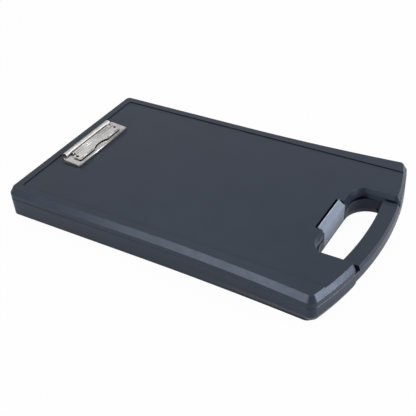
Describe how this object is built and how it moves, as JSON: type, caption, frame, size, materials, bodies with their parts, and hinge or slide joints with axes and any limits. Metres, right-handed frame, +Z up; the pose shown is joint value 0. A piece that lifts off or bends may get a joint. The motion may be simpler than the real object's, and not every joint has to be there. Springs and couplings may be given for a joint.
{
  "type": "storage clipboard box",
  "caption": "Shallow moulded case with a hinged writing lid, a low spring clip at one end, and a bow handle and sprung latch at the other.",
  "frame": {"origin": "middle of the whole part's footprint, on the surface it rests on", "axes": "+Z up, +Y towards the clip end and the hinge, -Y towards the handle, +X to the right seen from the handle end"},
  "size_m": [0.2658, 0.4244, 0.0444],
  "materials": {
    "case_plastic": "fine matt grain, charcoal",
    "latch_plastic": "smooth satin, pale blue-grey",
    "clip_steel": "nickel plated sheet steel",
    "pin_steel": "drawn steel",
    "spring_steel": "spring steel wire",
    "rivet_steel": "zinc plated"
  },
  "bodies": {
    "base": {"base_tray": "case_plastic", "hinge_pin_left": "pin_steel", "hinge_pin_right": "pin_steel", "latch_pin": "pin_steel", "latch_spring": "spring_steel"},
    "lid": {"lid": "case_plastic", "clip_base_plate": "clip_steel", "clip_rod": "pin_steel", "clip_spring_left": "spring_steel", "clip_spring_right": "spring_steel", "clip_rivet_left": "rivet_steel", "clip_rivet_right": "rivet_steel", "rivet_washer_left": "rivet_steel", "rivet_washer_right": "rivet_steel"},
    "latch": {"latch_lever": "latch_plastic"},
    "jaw": {"clip_jaw": "clip_steel", "clip_lever_pin": "pin_steel"},
    "lever": {"clip_lever": "clip_steel"}
  },
  "joints": [
    {"name": "lid_hinge", "type": "hinge", "parent": "base", "child": "lid", "pos_m": [0, 0.2092, 0.0223], "axis": [-1, 0, 0], "range_deg": [0, 110]},
    {"name": "latch_pivot", "type": "hinge", "parent": "base", "child": "latch", "pos_m": [0, -0.1517, 0.0104], "axis": [1, 0, 0], "range_deg": [0, 12], "stiffness_Nm_per_rad": 0.08, "springref_deg": -20.05},
    {"name": "clip_jaw_hinge", "type": "hinge", "parent": "lid", "child": "jaw", "pos_m": [0, 0.1804, 0.0408], "axis": [-1, 0, 0], "range_deg": [0, 14], "stiffness_Nm_per_rad": 1.5, "springref_deg": -17.19},
    {"name": "clip_lever_hinge", "type": "hinge", "parent": "jaw", "child": "lever", "pos_m": [0, 0.1744, 0.04135], "axis": [-1, 0, 0], "range_deg": [0, 95]}
  ],
  "couplings": [
    {"joint": "clip_jaw_hinge", "follows": "clip_lever_hinge", "ratio": 0.1473}
  ]
}
